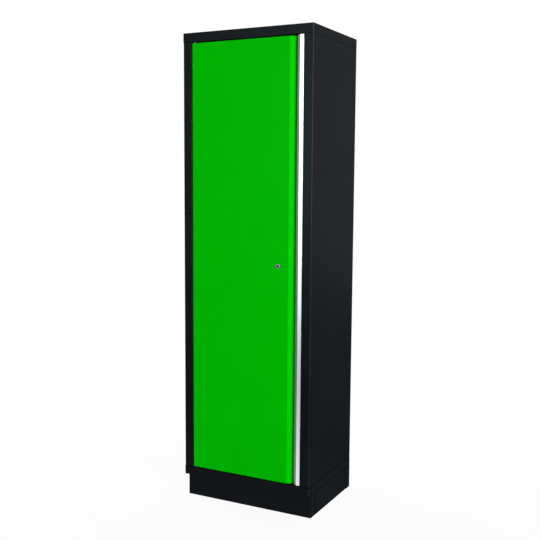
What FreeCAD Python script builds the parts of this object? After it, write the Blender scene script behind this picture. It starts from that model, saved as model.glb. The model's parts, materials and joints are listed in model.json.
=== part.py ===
import FreeCAD, Part
import math
import os

# Tall steel storage cabinet, in millimetres. Origin on the floor at the centre of the footprint,
# +Z up, the door on the -Y side, hinged at -X.

Vector = FreeCAD.Vector

# Overall sizes
WIDTH = 600.0
DEPTH = 450.0
HEIGHT = 2000.0

# Sheet metal
SHEET = 1.0
BEND = 1.0
CORNER_BEND = 2.0
SKIN_INSET = 1.0

# Cap, base and plinth
CAP_HEIGHT = 40.0
BASE_HEIGHT = 40.0
SIDE_RETURN = 30.0
FRONT_RETURN = 56.0
PLINTH_HEIGHT = 100.0
PLINTH_SETBACK = 29.0
PLINTH_INSET = 2.5
PLINTH_SIDE_INSET = 1.0
PLINTH_WRAP = 43.0
PLINTH_JOINT = 1.5
PLINTH_FLANGE = 20.0

# Side panels, posts and back
POST_WIDTH = 40.0
POST_DEPTH = 44.0
POST_LIP = 14.0
REAR_FLANGE = 25.0
BACK_FLANGE = 12.0
BACK_FLANGE_GAP = 2.0
END_FLANGE = 22.0
END_FLANGE_RELIEF = 8.0
WALL_HOLE_RADIUS = 4.0
WALL_HOLE_SPACING = 400.0
WALL_HOLE_DROP = 60.0

# Door
DOOR_THICKNESS = 24.0
DOOR_HINGE_GAP = 4.0
DOOR_LATCH_GAP = 2.0
DOOR_TOP_GAP = 4.0
DOOR_BOTTOM_GAP = 2.0
DOOR_EDGE_RADIUS = 2.0
BEVEL_FROM_LATCH_EDGE = 60.0
BEVEL_WIDTH = 29.0
BEVEL_DEPTH = 20.0
SKIN_FLANGE = 16.0
STIFFENER_WIDTH = 40.0
STIFFENER_FLANGE = 22.0
STIFFENER_END_GAP = 20.0
HANDLE_WALL = 2.0
HANDLE_BEND = 0.5
HANDLE_LIP = 16.0
HANDLE_LIP_SLOPE = 12.5
HANDLE_LIP_DROP = 6.0
HANDLE_FROM_BEVEL = 5.0
HANDLE_TOP_GAP = 1.5
HANDLE_RIVETS = 7
LINER_SCREWS = 5

# Pivots
PIVOT_FROM_EDGE = 8.0
PIVOT_FROM_FACE = 7.5
PIN_RADIUS = 4.0
PIN_CLEARANCE = 0.05
PIN_REACH = 18.0
PIN_HEAD_RADIUS = 7.0
PIN_HEAD = 3.0
PIVOT_BLOCK_WIDTH = 14.0
PIVOT_BLOCK_HEIGHT = 18.0
HINGE_PLATE = 3.0
HINGE_PLATE_REACH = 22.0
HINGE_PLATE_MARGIN = 7.0
HINGE_SCREW_FROM_POST = 9.0
HINGE_SCREW_FROM_END = 9.0
THRUST_WASHER_RADIUS = 8.0
RUNNING_GAP = 0.3

# Lock and its rods
LOCK_FROM_LATCH_EDGE = 106.0
LOCK_HEIGHT = 1045.0
LOCK_BEZEL_RADIUS = 10.0
LOCK_BEZEL = 2.5
LOCK_BARREL_RADIUS = 8.0
LOCK_NUT_ACROSS = 22.0
LOCK_NUT = 5.0
PLUG_RADIUS = 6.0
PLUG_RECESS = 1.0
KEYWAY_WIDTH = 1.6
KEYWAY_HEIGHT = 7.0
KEYWAY_DEPTH = 14.0
DRIVE_SQUARE = 8.0
CRANK_SWEEP = 90.0
CRANK_THROW = 12.0
CRANK_WIDTH = 12.0
CRANK_THICKNESS = 2.5
CRANK_PIN_RADIUS = 2.5
CRANK_SLOT_PLAY = 0.5
ROD_WIDTH = 16.0
ROD_THICKNESS = 3.0
ROD_FROM_AXIS = 2.75
ROD_END_GAP = 2.0
ROD_SLOT_CLEARANCE = 1.0
ROD_GUIDE_WALL = 4.0
ROD_GUIDE_HEIGHT = 20.0
ROD_GUIDE_FROM_LOCK = 150.0
ROD_GUIDE_FROM_END = 60.0

# Door stop and catches
STOP_GAP = 3.0
STOP_REACH = 38.0
STOP_FLANGE = 14.0
STOP_END_GAP = 5.0
BUMPER_RADIUS = 5.0
BUMPER_FROM_POST = 30.0
BUMPER_FROM_END = 120.0
CATCH_X = 60.0
CATCH_LENGTH = 46.0
CATCH_DEPTH = 18.0
CATCH_HEIGHT = 20.0
CATCH_SCREW_FROM_FRONT = 13.5
MAGNET_LENGTH = 24.0
MAGNET_HEIGHT = 10.0
MAGNET_DEPTH = 9.0
MAGNET_PROUD = 0.5
STRIKE_LENGTH = 44.0
STRIKE_HEIGHT = 12.0
STRIKE_THICKNESS = 1.5

# Shelves
SHELF_COUNT = 4
SHELF_HEIGHT = 25.0
SHELF_HEM = 12.0
SHELF_FRONT_SPACE = 35.0
SHELF_BACK_GAP = 5.0
SHELF_SIDE_GAP = 0.5
UPRIGHT_WIDTH = 24.0
UPRIGHT_DEPTH = 12.0
UPRIGHT_FLANGE = 10.0
UPRIGHT_FROM_SHELF_END = 40.0
SLOT_WIDTH = 5.0
SLOT_HEIGHT = 12.0
SLOT_PITCH = 40.0
SLOT_FROM_FLOOR = 40.0
SLOTS_PER_SHELF = 9
CLIP_THICKNESS = 1.5
CLIP_WIDTH = 20.0
CLIP_LEDGE = 9.0
CLIP_DROP = 12.0
CLIP_RISE = 8.0
CLIP_TONGUE = 4.0
CLIP_SLOT_GAP = 0.5

# Levelling feet
FOOT_PAD_RADIUS = 22.5
FOOT_PAD = 6.0
FOOT_CONE = 4.0
FOOT_NECK_RADIUS = 11.0
FOOT_HEX_ACROSS = 14.0
FOOT_HEX = 6.0
FOOT_STUD_RADIUS = 5.0
FOOT_TRAVEL = 20.0
FOOT_LIFT = 1.0
FOOT_GAP = 2.5
FOOT_NUT_ACROSS = 17.0
FOOT_NUT = 10.0
GUSSET_THICKNESS = 3.0
GUSSET_REACH = 22.0

# Screws
SCREW_RADIUS = 2.5
SCREW_HEAD_RADIUS = 4.5
SCREW_HEAD = 2.2
SCREW_LENGTH = 7.0
SCREW_SOCKET_ACROSS = 3.0
SCREW_SOCKET = 1.4
HOLE_CLEARANCE = 0.1
RIVET_RADIUS = 2.0
RIVET_HEAD_RADIUS = 4.0
RIVET_HEAD = 1.2
BACK_SCREWS = 7
STOP_SCREWS = 5
PANEL_SCREWS = 3
PLINTH_SCREWS = 3

# Carcass planes
HALF_WIDTH = WIDTH / 2
FRONT = -DEPTH / 2
BACK = DEPTH / 2
FLOOR = PLINTH_HEIGHT + BASE_HEIGHT
CEILING = HEIGHT - CAP_HEIGHT
PANEL_X = HALF_WIDTH - SKIN_INSET
WEB_X = PANEL_X - SHEET
PANEL_FRONT = FRONT + SKIN_INSET
PANEL_BACK = BACK - SKIN_INSET
REAR_FLANGE_BACK = PANEL_BACK - SHEET
OPENING_X = HALF_WIDTH - POST_WIDTH
POST_BACK = PANEL_FRONT + POST_DEPTH
OUTER_BEND = BEND + SHEET
OUTER_CORNER = CORNER_BEND + SHEET

# Door planes
DOOR_LEFT = -OPENING_X + DOOR_HINGE_GAP
DOOR_RIGHT = OPENING_X - DOOR_LATCH_GAP
DOOR_BOTTOM = FLOOR + DOOR_BOTTOM_GAP
DOOR_TOP = CEILING - DOOR_TOP_GAP
DOOR_FRONT = PANEL_FRONT
DOOR_BACK = DOOR_FRONT + DOOR_THICKNESS
BEVEL_X = DOOR_RIGHT - BEVEL_FROM_LATCH_EDGE
BEVEL_END_X = BEVEL_X + BEVEL_WIDTH
BEVEL_END_Y = DOOR_FRONT + BEVEL_DEPTH
SKIN_END_X = BEVEL_END_X + SKIN_FLANGE
HANDLE_SEAT_X = BEVEL_END_X + HANDLE_FROM_BEVEL
RIVET_X = (HANDLE_SEAT_X + SKIN_END_X - SHEET) / 2
PIVOT_X = DOOR_LEFT + PIVOT_FROM_EDGE
PIVOT_Y = DOOR_FRONT + PIVOT_FROM_FACE
LOCK_X = DOOR_RIGHT - LOCK_FROM_LATCH_EDGE

# Depths of the lock train behind the door
BARREL_END = DOOR_BACK + SHEET
CRANK_FRONT = BARREL_END + RUNNING_GAP
CRANK_BACK = CRANK_FRONT + CRANK_THICKNESS
ROD_FRONT = CRANK_BACK + SCREW_HEAD + RUNNING_GAP
ROD_BACK = ROD_FRONT + ROD_THICKNESS

# Places shared by several pieces
STOP_FRONT = DOOR_BACK + STOP_GAP
SHELF_FRONT = DOOR_BACK + SHELF_FRONT_SPACE
SHELF_BACK = REAR_FLANGE_BACK - SHEET - SHELF_BACK_GAP
UPRIGHT_FACE = WEB_X - UPRIGHT_DEPTH
SHELF_X = UPRIGHT_FACE - CLIP_THICKNESS - SHELF_SIDE_GAP
UPRIGHT_PLACES = {
    "front": SHELF_FRONT + UPRIGHT_FROM_SHELF_END,
    "rear": SHELF_BACK - UPRIGHT_FROM_SHELF_END,
}
FIRST_SLOT = FLOOR + SLOT_FROM_FLOOR
PLINTH_X = HALF_WIDTH - PLINTH_INSET
PLINTH_SIDE_X = HALF_WIDTH - PLINTH_SIDE_INSET
PLINTH_FRONT = FRONT + PLINTH_SETBACK
WRAP_END = PLINTH_FRONT + PLINTH_WRAP
REAR_WRAP_END = BACK - PLINTH_WRAP
GUSSET_TOP = PLINTH_HEIGHT - SHEET
GUSSET_BOTTOM = GUSSET_TOP - GUSSET_THICKNESS
FOOT_X = PLINTH_X - PLINTH_FLANGE - FOOT_PAD_RADIUS - FOOT_GAP
FOOT_FRONT_Y = PLINTH_FRONT + PLINTH_FLANGE + FOOT_PAD_RADIUS + FOOT_GAP
FOOT_BACK_Y = BACK - PLINTH_FLANGE - FOOT_PAD_RADIUS - FOOT_GAP
PANEL_SCREW_X = WEB_X - END_FLANGE / 2
BACK_SCREW_X = PANEL_X - REAR_FLANGE / 2
PLINTH_SCREW_X = PLINTH_X - PLINTH_FLANGE / 2
HINGE_SCREW_Y = POST_BACK - HINGE_SCREW_FROM_POST
HINGE_SCREW_X = (PIVOT_X - PIN_RADIUS, PIVOT_X + HINGE_PLATE_REACH - HINGE_SCREW_FROM_END)
CATCH_FRONT = DOOR_BACK + STRIKE_THICKNESS + RUNNING_GAP + MAGNET_PROUD
CATCH_SCREW_X = ((CATCH_LENGTH + MAGNET_LENGTH) / 4, -(CATCH_LENGTH + MAGNET_LENGTH) / 4)
CATCH_SCREW_Y = CATCH_FRONT + CATCH_SCREW_FROM_FRONT


def spread(low, high, count):
    """Evenly spaced places between two ends, with half a step free at each end."""
    step = (high - low) / count
    return [low + step * (number + 0.5) for number in range(count)]


def block(low, high):
    """Box between two opposite corners."""
    size = [b - a for a, b in zip(low, high)]
    return Part.makeBox(size[0], size[1], size[2], Vector(*low))


def bar(radius, start, end):
    """Round bar between two points."""
    line = Vector(*end) - Vector(*start)
    return Part.makeCylinder(radius, line.Length, Vector(*start), line)


def joined(first, *others):
    """One clean solid from pieces that meet."""
    return first.fuse(list(others)).removeSplitter()


def mirrored(shape):
    """The same piece on the other side of the cabinet."""
    return shape.mirror(Vector(0, 0, 0), Vector(1, 0, 0))


def group(shapes):
    """Several separate solids kept as one piece."""
    return Part.makeCompound(shapes)


def in_plane(point, plane, offset):
    """A flat point set into a plane at an offset from the XY, XZ or YZ plane."""
    u, v = point
    if plane == "XY":
        return Vector(u, v, offset)
    if plane == "XZ":
        return Vector(u, offset, v)
    return Vector(offset, u, v)


def rounded_prism(points, radii, plane, start, end):
    """Prism of a closed outline whose corners are rounded by the given radii."""
    corners = [in_plane(point, plane, start) for point in points]
    edges = []
    arc_ends = []
    for number, corner in enumerate(corners):
        into = corner - corners[number - 1]
        out = corners[(number + 1) % len(corners)] - corner
        into.normalize()
        out.normalize()
        radius = radii[number]
        if radius <= 0:
            arc_ends.append((corner, corner))
            continue
        half_turn = into.getAngle(out) / 2
        setback = radius * math.tan(half_turn)
        inward = out - into
        inward.normalize()
        middle = corner + inward * (radius / math.cos(half_turn) - radius)
        first = corner - into * setback
        last = corner + out * setback
        edges.append(Part.Arc(first, middle, last).toShape())
        arc_ends.append((first, last))
    for number, (first, last) in enumerate(arc_ends):
        before = arc_ends[number - 1][1]
        if before.distanceToPoint(first) > 1e-6:
            edges.append(Part.makeLine(before, first))
    face = Part.Face(Part.Wire(Part.__sortEdges__(edges)))
    along = in_plane((0, 0), plane, end - start)
    return face.extrude(along)


def folded(points, side, plane, start, end, thickness=SHEET, bend=BEND):
    """Folded sheet along an outline of its outer face; side 1 puts the metal left of the path."""
    path = [Vector(u, v, 0) for u, v in points]
    steps = [b - a for a, b in zip(path, path[1:])]
    for step in steps:
        step.normalize()
    outer, inner, outer_radii, inner_radii = [], [], [], []
    for number, point in enumerate(path):
        into = steps[max(number - 1, 0)]
        out = steps[min(number, len(steps) - 1)]
        half_turn = into.getAngle(out) / 2
        left = Vector(-into.y - out.y, into.x + out.x, 0)
        left.normalize()
        shifted = point + left * (side * thickness / math.cos(half_turn))
        turn = into.x * out.y - into.y * out.x
        turns_inward = turn * side > 0
        is_end = number in (0, len(path) - 1)
        outer.append((point.x, point.y))
        inner.append((shifted.x, shifted.y))
        outer_radii.append(0 if is_end else bend + (thickness if turns_inward else 0))
        inner_radii.append(0 if is_end else bend + (0 if turns_inward else thickness))
    outline = outer + inner[::-1]
    radii = outer_radii + inner_radii[::-1]
    return rounded_prism(outline, radii, plane, start, end)


def hex_bar(across, centre, bottom, top):
    """Upright hexagonal bar."""
    corner = across / math.sqrt(3)
    points = []
    for number in range(6):
        angle = math.radians(60 * number)
        points.append((centre[0] + corner * math.cos(angle), centre[1] + corner * math.sin(angle)))
    return rounded_prism(points, [0] * 6, "XY", bottom, top)


def upright_to(shape, seat, direction):
    """A piece made upright at the origin, turned to a direction and set on its seat."""
    turned = shape.copy()
    turned.Placement = FreeCAD.Placement(
        Vector(*seat), FreeCAD.Rotation(Vector(0, 0, 1), Vector(*direction)))
    return turned


def screw(seat, direction, length=SCREW_LENGTH):
    """Pan-head screw: the head stands on its seat along the direction, the shank runs the other way."""
    head = bar(SCREW_HEAD_RADIUS, (0, 0, 0), (0, 0, SCREW_HEAD))
    crown = [edge for edge in head.Edges if edge.BoundBox.ZMin > SCREW_HEAD / 2]
    head = head.makeChamfer(SCREW_HEAD / 4, crown)
    shank = bar(SCREW_RADIUS, (0, 0, -length), (0, 0, 0))
    socket = hex_bar(SCREW_SOCKET_ACROSS, (0, 0), SCREW_HEAD - SCREW_SOCKET, SCREW_HEAD + SCREW_SOCKET)
    return upright_to(joined(head, shank).cut(socket), seat, direction)


def screw_hole(seat, direction, length=SCREW_LENGTH):
    """Clearance hole on a screw's line, through the metal on both sides of its seat."""
    start = Vector(*seat) + Vector(*direction) * SCREW_HEAD
    end = Vector(*seat) - Vector(*direction) * length
    return bar(SCREW_RADIUS + HOLE_CLEARANCE, start, end)


def holed(shape, places, length=SCREW_LENGTH):
    """A piece with the clearance holes for a list of screws."""
    tools = [screw_hole(seat, direction, length) for seat, direction in places]
    return shape.cut(tools)


def screws(places, length=SCREW_LENGTH):
    """All the screws of one list."""
    return group([screw(seat, direction, length) for seat, direction in places])


def level(end, offset):
    """Height at a distance into the cabinet from its ceiling or its floor."""
    return CEILING - offset if end == "upper" else FLOOR + offset


def between(end, first, last):
    """The two heights of a piece near the ceiling or the floor, lowest first."""
    return sorted((level(end, first), level(end, last)))


# The way from the ceiling or the floor into the cabinet
INWARD = {"upper": (0, 0, -1), "lower": (0, 0, 1)}

# The side of the lock on which each rod stands
ROD_SIDE = {"upper": -1, "lower": 1}


# Where the screws sit

def panel_screw_places(end):
    """Screws that hold the side panels' end flanges to the cap or the base."""
    clear = UPRIGHT_WIDTH / 2 + UPRIGHT_FLANGE + SCREW_HEAD_RADIUS
    low = UPRIGHT_PLACES["front"] + clear
    high = UPRIGHT_PLACES["rear"] - clear
    places = []
    for side in (-1, 1):
        for y in spread(low, high, PANEL_SCREWS):
            places.append(((side * PANEL_SCREW_X, y, level(end, SHEET)), INWARD[end]))
    return places


def hinge_screw_places(end):
    """Screws that hold a hinge plate to the cap or the base."""
    return [((x, HINGE_SCREW_Y, level(end, 0)), INWARD[end]) for x in HINGE_SCREW_X]


def catch_screw_places(end):
    """Screws that hold a magnet catch to the cap or the base."""
    height = level(end, CATCH_HEIGHT)
    return [((CATCH_X + x, CATCH_SCREW_Y, height), INWARD[end]) for x in CATCH_SCREW_X]


CATCH_SCREW_LENGTH = CATCH_HEIGHT + SCREW_LENGTH


def back_screw_places():
    """Screws that hold the back panel to the side panels' rear flanges."""
    places = []
    for side in (-1, 1):
        for z in spread(FLOOR, CEILING, BACK_SCREWS):
            places.append(((side * BACK_SCREW_X, PANEL_BACK, z), (0, 1, 0)))
    return places


def stop_screw_places():
    """Screws that hold the door stop strip to the right post."""
    y = STOP_FRONT + (SHEET + STOP_FLANGE) / 2
    heights = spread(FLOOR, CEILING, STOP_SCREWS)
    return [((OPENING_X - SHEET, y, z), (-1, 0, 0)) for z in heights]


def plinth_screw_places(side):
    """Screws that hold a plinth side board to the base."""
    low = FOOT_FRONT_Y + GUSSET_REACH + SCREW_HEAD_RADIUS
    high = FOOT_BACK_Y - GUSSET_REACH - SCREW_HEAD_RADIUS
    depths = spread(low, high, PLINTH_SCREWS)
    return [((side * PLINTH_SCREW_X, y, GUSSET_TOP), (0, 0, -1)) for y in depths]


def liner_screw_places():
    """Screws that hold the door liner to the stiffener."""
    x = (STIFFENER_WIDTH + STIFFENER_FLANGE) / 2
    places = []
    for side in (-1, 1):
        for z in spread(DOOR_BOTTOM, DOOR_TOP, LINER_SCREWS):
            places.append(((side * x, DOOR_BACK, z), (0, 1, 0)))
    return places


def handle_rivet_places():
    """Heights of the rivets that hold the handle to the door skin."""
    return spread(DOOR_BOTTOM, DOOR_TOP, HANDLE_RIVETS)


# Cap, base and plinth

def inverted_tray(bottom, top):
    """Folded tray, closed above, with flanges turned in along its lower edges."""
    outer = block((-HALF_WIDTH, FRONT, bottom), (HALF_WIDTH, BACK, top))
    outer = outer.makeFillet(OUTER_CORNER, outer.Edges)
    inner = block((-HALF_WIDTH + SHEET, FRONT + SHEET, bottom + SHEET),
                  (HALF_WIDTH - SHEET, BACK - SHEET, top - SHEET))
    inner = inner.makeFillet(CORNER_BEND, inner.Edges)
    opening = block((-HALF_WIDTH + SIDE_RETURN, FRONT + FRONT_RETURN, bottom - SHEET),
                    (HALF_WIDTH - SIDE_RETURN, BACK - SIDE_RETURN, (bottom + top) / 2))
    return outer.cut([inner, opening])


def rod_x(end):
    """The two edges of a lock rod across the cabinet, lowest first."""
    near = LOCK_X + ROD_SIDE[end] * ROD_FROM_AXIS
    far = near + ROD_SIDE[end] * ROD_WIDTH
    return sorted((near, far))


def door_gear_holes(end):
    """Holes in the cap or the base for the pivot pin and the lock rod."""
    low, high = between(end, SHEET, -2 * SHEET)
    pin = bar(PIN_RADIUS + HOLE_CLEARANCE, (PIVOT_X, PIVOT_Y, low), (PIVOT_X, PIVOT_Y, high))
    left, right = rod_x(end)
    slot = block((left - ROD_SLOT_CLEARANCE, ROD_FRONT - ROD_SLOT_CLEARANCE, low),
                 (right + ROD_SLOT_CLEARANCE, ROD_BACK + ROD_SLOT_CLEARANCE, high))
    return [pin, slot]


def end_tray(end, bottom, top):
    """Cap or base with the holes for what is fixed to it."""
    tray = inverted_tray(bottom, top).cut(door_gear_holes(end))
    tray = holed(tray, panel_screw_places(end) + hinge_screw_places(end))
    return holed(tray, catch_screw_places(end), CATCH_SCREW_LENGTH)


def base_tray():
    """Base with its floor on top, on the plinth."""
    tray = end_tray("lower", PLINTH_HEIGHT, FLOOR)
    return holed(tray, plinth_screw_places(-1) + plinth_screw_places(1))


def wrapped_board(x, y, wrap_end):
    """Plinth board across the cabinet, wrapped round two corners, with flanges above and below."""
    inward = math.copysign(1, wrap_end - y)
    path = [(-x, wrap_end), (-x, y), (x, y), (x, wrap_end)]
    board = folded(path, inward, "XY", 0, PLINTH_HEIGHT)
    flange_x = x - OUTER_BEND
    near, far = sorted((y + inward * SHEET / 2, y + inward * PLINTH_FLANGE))
    flanges = []
    for bottom in (0, PLINTH_HEIGHT - SHEET):
        flanges.append(block((-flange_x, near, bottom), (flange_x, far, bottom + SHEET)))
    return joined(board, *flanges)


def plinth_right():
    """Side plinth board between the wraps of the front and the rear board."""
    inner = PLINTH_X - PLINTH_FLANGE
    outer = PLINTH_SIDE_X
    path = [(inner, 0), (outer, 0), (outer, PLINTH_HEIGHT), (inner, PLINTH_HEIGHT)]
    board = folded(path, 1, "XZ", WRAP_END + PLINTH_JOINT, REAR_WRAP_END - PLINTH_JOINT)
    return holed(board, plinth_screw_places(1))


def foot_places():
    """Name and place of each levelling foot."""
    places = {}
    for depth_name, y in (("front", FOOT_FRONT_Y), ("rear", FOOT_BACK_Y)):
        for side_name, side in (("left", -1), ("right", 1)):
            places[depth_name + "_" + side_name] = (side * FOOT_X, y)
    return places


def foot_gusset(x, y):
    """Corner plate under the plinth flanges that carries one foot's nut."""
    side = math.copysign(1, x)
    across = sorted((side * (PLINTH_X - OUTER_BEND), x - side * GUSSET_REACH))
    if y == FOOT_FRONT_Y:
        along = (PLINTH_FRONT + OUTER_BEND, y + GUSSET_REACH)
    else:
        along = (y - GUSSET_REACH, BACK - OUTER_BEND)
    plate = block((across[0], along[0], GUSSET_BOTTOM), (across[1], along[1], GUSSET_TOP))
    hole = bar(FOOT_STUD_RADIUS + RUNNING_GAP, (x, y, GUSSET_BOTTOM), (x, y, GUSSET_TOP))
    return plate.cut(hole)


def foot_nut(x, y):
    """Weld nut under one gusset."""
    bottom = GUSSET_BOTTOM - FOOT_NUT
    nut = hex_bar(FOOT_NUT_ACROSS, (x, y), bottom, GUSSET_BOTTOM)
    return nut.cut(bar(FOOT_STUD_RADIUS + PIN_CLEARANCE, (x, y, bottom), (x, y, GUSSET_BOTTOM)))


def levelling_foot(x, y):
    """Foot with a round pad, a hexagonal neck and a threaded stud."""
    pad_top = FOOT_LIFT + FOOT_PAD
    cone_top = pad_top + FOOT_CONE
    hex_top = cone_top + FOOT_HEX
    pad = bar(FOOT_PAD_RADIUS, (x, y, FOOT_LIFT), (x, y, pad_top))
    cone = Part.makeCone(FOOT_PAD_RADIUS, FOOT_NECK_RADIUS, FOOT_CONE, Vector(x, y, pad_top))
    neck = hex_bar(FOOT_HEX_ACROSS, (x, y), cone_top, hex_top)
    stud = bar(FOOT_STUD_RADIUS, (x, y, hex_top), (x, y, GUSSET_TOP + FOOT_TRAVEL))
    return joined(pad, cone, neck, stud)


# Side panels and back

def right_side_panel():
    """Side panel folded from one sheet with its front post, rear flange and end flanges."""
    path = [
        (PANEL_X - REAR_FLANGE, REAR_FLANGE_BACK),
        (PANEL_X, REAR_FLANGE_BACK),
        (PANEL_X, PANEL_FRONT),
        (OPENING_X, PANEL_FRONT),
        (OPENING_X, POST_BACK),
        (OPENING_X + POST_LIP, POST_BACK),
    ]
    panel = folded(path, -1, "XY", FLOOR, CEILING, bend=CORNER_BEND)
    front = POST_BACK + END_FLANGE_RELIEF
    rear = REAR_FLANGE_BACK - SHEET - END_FLANGE_RELIEF
    flanges = []
    for end in ("upper", "lower"):
        low, high = between(end, 0, SHEET)
        flanges.append(block((WEB_X - END_FLANGE, front, low), (WEB_X + SHEET / 2, rear, high)))
    panel = joined(panel, *flanges)
    places = panel_screw_places("upper") + panel_screw_places("lower") + back_screw_places()
    return holed(panel, places)


def back_panel():
    """Back sheet with end flanges and two holes for fixing the cabinet to a wall."""
    sheet = block((-PANEL_X, REAR_FLANGE_BACK, FLOOR), (PANEL_X, PANEL_BACK, CEILING))
    flange_x = PANEL_X - REAR_FLANGE - BACK_FLANGE_GAP
    flanges = []
    for end in ("upper", "lower"):
        low, high = between(end, 0, SHEET)
        flanges.append(block((-flange_x, PANEL_BACK - BACK_FLANGE, low),
                             (flange_x, PANEL_BACK - SHEET / 2, high)))
    sheet = joined(sheet, *flanges)
    height = CEILING - WALL_HOLE_DROP
    tools = []
    for side in (-1, 1):
        x = side * WALL_HOLE_SPACING / 2
        inner_end = (x, REAR_FLANGE_BACK - SHEET, height)
        tools.append(bar(WALL_HOLE_RADIUS, inner_end, (x, PANEL_BACK + SHEET, height)))
    return holed(sheet.cut(tools), back_screw_places())


# Shelves

def slot_heights():
    """Heights of the slots in a shelf upright."""
    heights = []
    height = FIRST_SLOT
    while height < CEILING - SLOT_FROM_FLOOR:
        heights.append(height)
        height += SLOT_PITCH
    return heights


def right_upright(y):
    """Slotted hat channel on the inner face of the right side panel."""
    half = UPRIGHT_WIDTH / 2
    crown = UPRIGHT_FACE + SHEET
    path = [
        (WEB_X, y - half - UPRIGHT_FLANGE),
        (WEB_X, y - half),
        (crown, y - half),
        (crown, y + half),
        (WEB_X, y + half),
        (WEB_X, y + half + UPRIGHT_FLANGE),
    ]
    channel = folded(path, 1, "XY", FLOOR + SHEET, CEILING - SHEET)
    slots = []
    for z in slot_heights():
        low = (UPRIGHT_FACE - SHEET, y - SLOT_WIDTH / 2, z - SLOT_HEIGHT / 2)
        slots.append(block(low, (crown + SHEET, y + SLOT_WIDTH / 2, z + SLOT_HEIGHT / 2)))
    return channel.cut(slots)


def shelf_slot(number):
    """Height of the slots that carry one shelf, counted from the lowest."""
    return FIRST_SLOT + SLOT_PITCH * (SLOTS_PER_SHELF * number - 1)


def shelf_bottom(number):
    """Height of a shelf's lower edge, which rests on its clips."""
    return shelf_slot(number) - CLIP_DROP + CLIP_THICKNESS


def right_clip(y, slot):
    """Shelf clip: a tongue in the slot, a plate on the upright and a ledge under the shelf."""
    half = CLIP_WIDTH / 2
    inner = UPRIGHT_FACE - CLIP_THICKNESS
    plate = block((inner, y - half, slot - CLIP_DROP), (UPRIGHT_FACE, y + half, slot + CLIP_RISE))
    ledge = block((inner - CLIP_LEDGE, y - half, slot - CLIP_DROP),
                  (inner, y + half, slot - CLIP_DROP + CLIP_THICKNESS))
    tongue_y = SLOT_WIDTH / 2 - CLIP_SLOT_GAP
    tongue_z = SLOT_HEIGHT / 2 - CLIP_SLOT_GAP
    tongue = block((UPRIGHT_FACE, y - tongue_y, slot - tongue_z),
                   (UPRIGHT_FACE + CLIP_TONGUE, y + tongue_y, slot + tongue_z))
    return joined(plate, ledge, tongue)


def shelf_clips():
    """The four clips of every shelf."""
    clips = []
    for number in range(1, SHELF_COUNT + 1):
        for y in UPRIGHT_PLACES.values():
            clip = right_clip(y, shelf_slot(number))
            clips += [clip, mirrored(clip)]
    return group(clips)


def shelf(number):
    """Shelf folded from one sheet, with flanges down all round and a hem at the front."""
    bottom = shelf_bottom(number)
    top = bottom + SHELF_HEIGHT
    outer = block((-SHELF_X, SHELF_FRONT, bottom), (SHELF_X, SHELF_BACK, top))
    bends = [edge for edge in outer.Edges if edge.BoundBox.ZMax > bottom + SHEET]
    outer = outer.makeFillet(OUTER_BEND, bends)
    inner = block((-SHELF_X + SHEET, SHELF_FRONT + SHEET, bottom - SHEET),
                  (SHELF_X - SHEET, SHELF_BACK - SHEET, top - SHEET))
    bends = [edge for edge in inner.Edges if edge.BoundBox.ZMax > bottom + SHEET]
    inner = inner.makeFillet(BEND, bends)
    hem_x = SHELF_X - CLIP_LEDGE - CLIP_THICKNESS
    hem = block((-hem_x, SHELF_FRONT + SHEET / 2, bottom), (hem_x, SHELF_FRONT + SHELF_HEM, bottom + SHEET))
    return joined(outer.cut(inner), hem)


# Pivots of the door

def hinge_plate(end):
    """Thick plate behind the cap's or base's sheet that carries a pivot pin."""
    low, high = between(end, -SHEET, -SHEET - HINGE_PLATE)
    front = FRONT + OUTER_CORNER
    plate = block((PIVOT_X - PIN_HEAD_RADIUS, front, low),
                  (PIVOT_X + HINGE_PLATE_REACH, HINGE_SCREW_Y + HINGE_PLATE_MARGIN, high))
    hole = bar(PIN_RADIUS + HOLE_CLEARANCE, (PIVOT_X, PIVOT_Y, low), (PIVOT_X, PIVOT_Y, high))
    return holed(plate.cut(hole), hinge_screw_places(end))


def pivot_pin(end):
    """Headed pin through the hinge plate into the door's pivot block."""
    neck = level(end, -SHEET - HINGE_PLATE)
    top = level(end, -SHEET - HINGE_PLATE - PIN_HEAD)
    head = bar(PIN_HEAD_RADIUS, (PIVOT_X, PIVOT_Y, top), (PIVOT_X, PIVOT_Y, neck))
    shank = bar(PIN_RADIUS, (PIVOT_X, PIVOT_Y, neck), (PIVOT_X, PIVOT_Y, level(end, PIN_REACH)))
    return joined(head, shank)


def thrust_washer():
    """Washer on the floor that carries the door."""
    top = DOOR_BOTTOM - RUNNING_GAP
    ring = bar(THRUST_WASHER_RADIUS, (PIVOT_X, PIVOT_Y, FLOOR), (PIVOT_X, PIVOT_Y, top))
    bore = bar(PIN_RADIUS + HOLE_CLEARANCE, (PIVOT_X, PIVOT_Y, FLOOR), (PIVOT_X, PIVOT_Y, top))
    return ring.cut(bore)


def door_edge(end):
    """Distance of the door's end sheet from the ceiling or the floor."""
    return DOOR_TOP_GAP if end == "upper" else DOOR_BOTTOM_GAP


def pivot_block(end):
    """Plastic bearing block in the corner of the door."""
    low, high = between(end, door_edge(end) + SHEET, door_edge(end) + SHEET + PIVOT_BLOCK_HEIGHT)
    left = DOOR_LEFT + SHEET
    front = DOOR_FRONT + SHEET
    right = left + PIVOT_BLOCK_WIDTH
    back = 2 * PIVOT_Y - front
    corner = DOOR_EDGE_RADIUS
    points = [(left, front), (right, front), (right, back), (left, back)]
    body = rounded_prism(points, [corner + HOLE_CLEARANCE, 0, 0, 0], "XY", low, high)
    return body.cut(bar(PIN_RADIUS + PIN_CLEARANCE, (PIVOT_X, PIVOT_Y, low), (PIVOT_X, PIVOT_Y, high)))


# Door

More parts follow.
